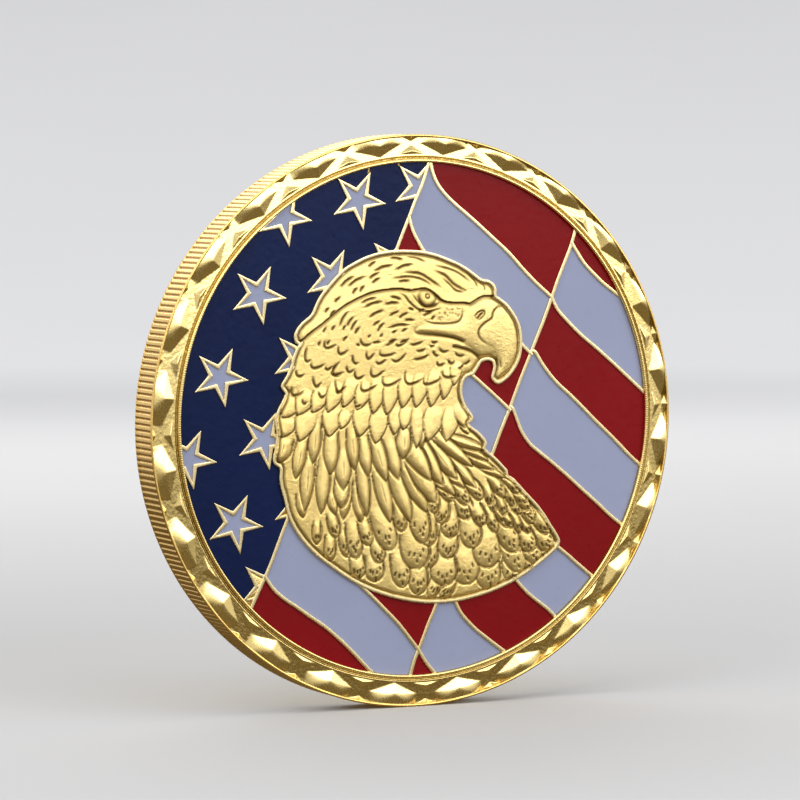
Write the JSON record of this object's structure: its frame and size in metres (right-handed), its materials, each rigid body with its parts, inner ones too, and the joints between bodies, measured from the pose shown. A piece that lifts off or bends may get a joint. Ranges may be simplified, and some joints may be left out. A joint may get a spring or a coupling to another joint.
{
  "type": "challenge coin",
  "caption": "Gold-plated struck coin with an eagle's head over a waving flag in red, white and blue enamel, faceted diamond rims and a reeded edge.",
  "frame": {"origin": "centre of the disc", "axes": "the coin stands on edge: Y is its axis and the obverse looks towards -Y; +Z is the top of the design, +X is to the right as the obverse is seen"},
  "size_m": [0.04, 0.003, 0.04],
  "materials": {
    "gold": "bright gold plating, polished rim and sandblasted relief",
    "enamel_red": "satin soft enamel",
    "enamel_white": "satin soft enamel, cool white",
    "enamel_blue": "satin soft enamel"
  },
  "bodies": {
    "root": {"coin_body": "gold", "red_tip": "enamel_red", "red_band_upper": "enamel_red", "red_sliver": "enamel_red", "red_band_right": "enamel_red", "red_under_beak": "enamel_red", "red_band_mid": "enamel_red", "red_block": "enamel_red", "red_wedge": "enamel_red", "red_foot": "enamel_red", "red_band_lower": "enamel_red", "white_band_upper": "enamel_white", "white_band_right": "enamel_white", "white_throat": "enamel_white", "white_band_mid": "enamel_white", "white_block": "enamel_white", "white_foot": "enamel_white", "white_band_lower": "enamel_white", "white_star_01": "enamel_white", "white_star_02": "enamel_white", "white_star_03": "enamel_white", "white_star_04": "enamel_white", "white_star_05": "enamel_white", "white_star_06": "enamel_white", "white_star_07": "enamel_white", "white_star_08": "enamel_white", "white_star_09": "enamel_white", "white_star_10": "enamel_white", "blue_canton": "enamel_blue", "blue_notch_left": "enamel_blue", "blue_notch_right": "enamel_blue"}
  },
  "joints": []
}
